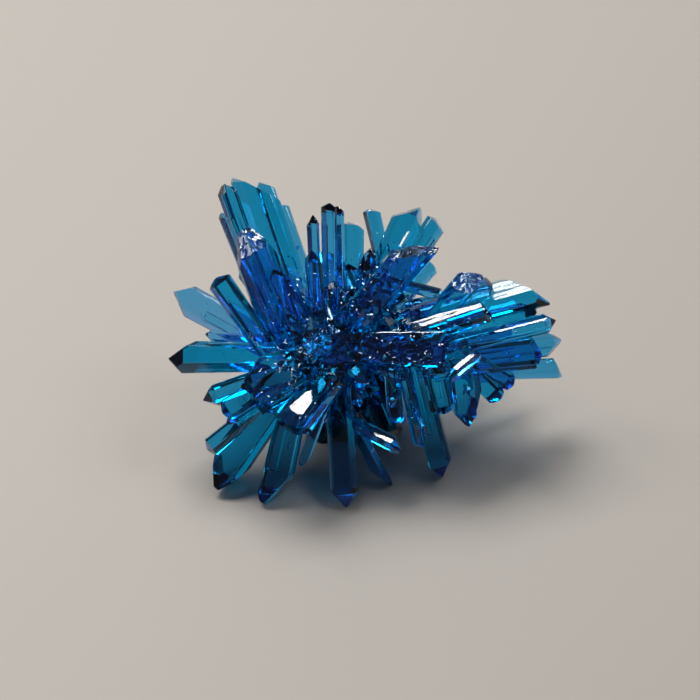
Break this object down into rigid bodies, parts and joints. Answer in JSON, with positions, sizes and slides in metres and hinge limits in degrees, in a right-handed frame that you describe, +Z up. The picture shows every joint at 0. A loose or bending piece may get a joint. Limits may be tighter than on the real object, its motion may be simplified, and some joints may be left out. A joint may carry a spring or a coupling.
{
  "type": "pentagonite crystal cluster",
  "caption": "Loose natural cluster of clear deep blue bladed crystals grown together in a radiating spray, for display in a mineral collection.",
  "frame": {"origin": "middle of the cluster's bounding box, on the plane that it rests on", "axes": "+Z up, -Y towards the showy side that leans back, +X to the right along the long right wing"},
  "size_m": [0.0142, 0.0102, 0.0082],
  "materials": {
    "crystal": "glassy clear blue crystal with striated faces"
  },
  "bodies": {
    "root": {"crystal_cluster": "crystal"}
  },
  "joints": []
}
